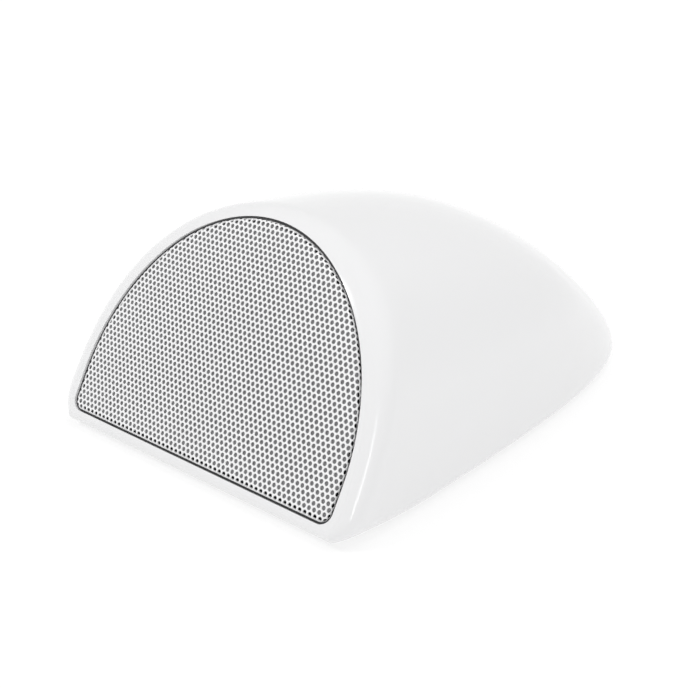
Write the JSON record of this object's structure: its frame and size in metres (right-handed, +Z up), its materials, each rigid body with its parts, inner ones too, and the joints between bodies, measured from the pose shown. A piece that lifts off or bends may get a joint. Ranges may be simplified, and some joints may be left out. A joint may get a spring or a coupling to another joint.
{
  "type": "smart speaker",
  "caption": "Low arch-section desk speaker with a leaning D-shaped perforated front, one full-range driver, a control board and a rear port bay.",
  "frame": {"origin": "on the desk under the middle of the body", "axes": "+X to the right seen from the front, +Y back towards the tail, +Z up; the grille faces -Y and leans back"},
  "size_m": [0.1342, 0.1984, 0.0805],
  "materials": {
    "shell_white": "gloss, moulded",
    "grille_steel": "satin powder coat",
    "scrim_cloth": "woven",
    "black_plastic": "fine texture",
    "grey_plastic": "fine texture",
    "base_grey": "fine texture",
    "rubber_black": "matt",
    "foam_black": "open foam",
    "screw_steel": "zinc plated",
    "basket_steel": "black e-coat",
    "cone_paper": "pressed pulp",
    "spider_cloth": "phenolic cloth",
    "copper": "enamelled wire",
    "former_foil": "foil",
    "plate_steel": "zinc plated",
    "magnet": "ground",
    "board_green": "solder mask",
    "tin": "tin plate",
    "sink_aluminium": "extruded",
    "capacitor_sleeve": "shrink sleeve",
    "chip_black": "moulded",
    "connector_white": "moulded",
    "lead_red_black": "insulated wire",
    "brass_contact": "bright",
    "strip_brown": "laminate",
    "button_white": "gloss",
    "wadding": "polyester fibre",
    "antenna_film": "laminate"
  },
  "bodies": {
    "speaker": {"housing_shell": "shell_white", "grille": "grille_steel", "grille_scrim": "scrim_cloth", "grille_frame": "black_plastic", "front_baffle": "grey_plastic", "baffle_gasket": "foam_black", "baffle_screws": "screw_steel", "base_plate": "base_grey", "base_screws": "screw_steel", "rubber_feet": "rubber_black", "main_board": "board_green", "driver_leads": "lead_red_black", "wifi_antennas": "antenna_film", "port_tub": "base_grey", "acoustic_wadding": "wadding", "driver_basket": "basket_steel", "driver_gasket": "rubber_black", "driver_surround": "rubber_black", "driver_spider": "spider_cloth", "driver_top_plate": "plate_steel", "driver_magnet": "magnet", "driver_yoke": "plate_steel", "driver_screws": "screw_steel", "shield_can": "tin", "heat_sink": "sink_aluminium", "bulk_capacitors": "capacitor_sleeve", "power_inductors": "chip_black", "board_chips": "chip_black", "board_connectors": "connector_white", "board_screws": "screw_steel", "port_board": "board_green", "port_board_screws": "screw_steel", "dc_jack": "black_plastic", "dc_jack_pin": "brass_contact", "pairing_switch": "chip_black", "mute_switch": "chip_black", "port_screws": "screw_steel", "port_leads": "lead_red_black", "terminal_strip": "strip_brown", "terminal_lugs": "brass_contact", "mic_boards": "board_green", "mic_capsules": "tin"},
    "cone_assembly": {"driver_cone": "cone_paper", "driver_dust_cap": "cone_paper", "voice_coil_former": "former_foil", "voice_coil_winding": "copper"},
    "pairing_button": {"pairing_button": "button_white"},
    "mute_slider": {"mute_slider": "black_plastic"}
  },
  "joints": [
    {"name": "cone_slide", "type": "slide", "parent": "speaker", "child": "cone_assembly", "axis": [0, -0.8669, 0.4985], "range_m": [-0.002, 0.002], "stiffness_N_per_m": 1200, "deforming": ["driver_surround", "driver_spider"]},
    {"name": "pairing_press", "type": "slide", "parent": "speaker", "child": "pairing_button", "axis": [0, -1, 0], "range_m": [0, 0.0008], "stiffness_N_per_m": 300},
    {"name": "mute_slide", "type": "slide", "parent": "speaker", "child": "mute_slider", "axis": [1, 0, 0], "range_m": [-0.0015, 0.0015]}
  ]
}
